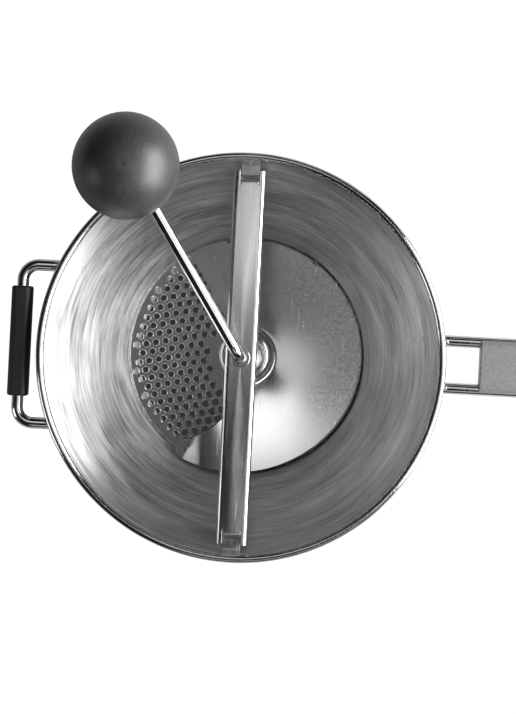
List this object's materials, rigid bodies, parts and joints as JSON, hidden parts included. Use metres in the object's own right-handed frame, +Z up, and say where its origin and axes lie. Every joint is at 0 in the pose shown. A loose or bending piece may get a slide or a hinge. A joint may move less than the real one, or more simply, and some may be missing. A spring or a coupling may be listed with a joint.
{
  "type": "rotary food mill",
  "caption": "Hand-cranked potato ricer: conical steel bowl with a perforated disc, helical blade, crossbar, ball-knob crank, long handle and wire bail.",
  "frame": {"origin": "on the bowl's axis, in the plane of the neck's underside that the mill stands on", "axes": "+Z up along the bowl's axis and the crank's shaft, +X along the long handle, -X to the wire bail, Y along the crossbar"},
  "size_m": [0.4033, 0.2242, 0.1756],
  "materials": {
    "brushed_bowl": "fine circular brushing inside and out, bright rolled rim",
    "disc_steel": "bright rolled sheet with a raised lip round each hole",
    "bar_steel": "bright sheet with lengthwise grain",
    "polished_blade": "mirror-polished sheet with faint scratches",
    "bright_steel": "turned and tumbled bright",
    "bright_wire": "polished round wire",
    "spring_steel": "drawn spring wire, satin",
    "screw_steel": "bright screw heads",
    "charcoal_knob": "fine matte soft-touch surface",
    "black_grip": "matte black moulding",
    "grey_grip": "satin mid-grey moulding"
  },
  "bodies": {
    "mill": {"bowl": "brushed_bowl", "perforated_disc": "disc_steel", "disc_eyelet": "bright_steel", "crossbar": "bar_steel", "bar_bush": "bright_steel", "spring": "spring_steel", "bail_wire": "bright_wire", "bail_grip": "black_grip", "handle_wire": "bright_wire", "handle_grip_top": "grey_grip", "handle_grip_bottom": "grey_grip", "grip_screws": "screw_steel"},
    "seat": {"spring_seat": "bright_steel"},
    "crank": {"crank_rod": "bright_wire", "shaft_washer": "bright_steel", "blade": "polished_blade", "blade_hub": "polished_blade", "hub_pin": "bright_steel", "knob_collar": "bright_steel", "knob_retainer": "spring_steel"},
    "knob": {"knob": "charcoal_knob", "knob_bush": "bright_steel"}
  },
  "joints": [
    {"name": "blade_float", "type": "slide", "parent": "mill", "child": "seat", "axis": [0, 0, 1], "range_m": [0, 0.003], "stiffness_N_per_m": 1500, "springref_m": -0.006, "deforming": ["spring"]},
    {"name": "crank_turn", "type": "hinge", "parent": "seat", "child": "crank", "pos_m": [0, 0, 0.05], "axis": [0, 0, 1], "continuous": true},
    {"name": "knob_spin", "type": "hinge", "parent": "crank", "child": "knob", "pos_m": [-0.05883, 0.09235, 0.149], "axis": [0, 0, 1], "continuous": true}
  ]
}
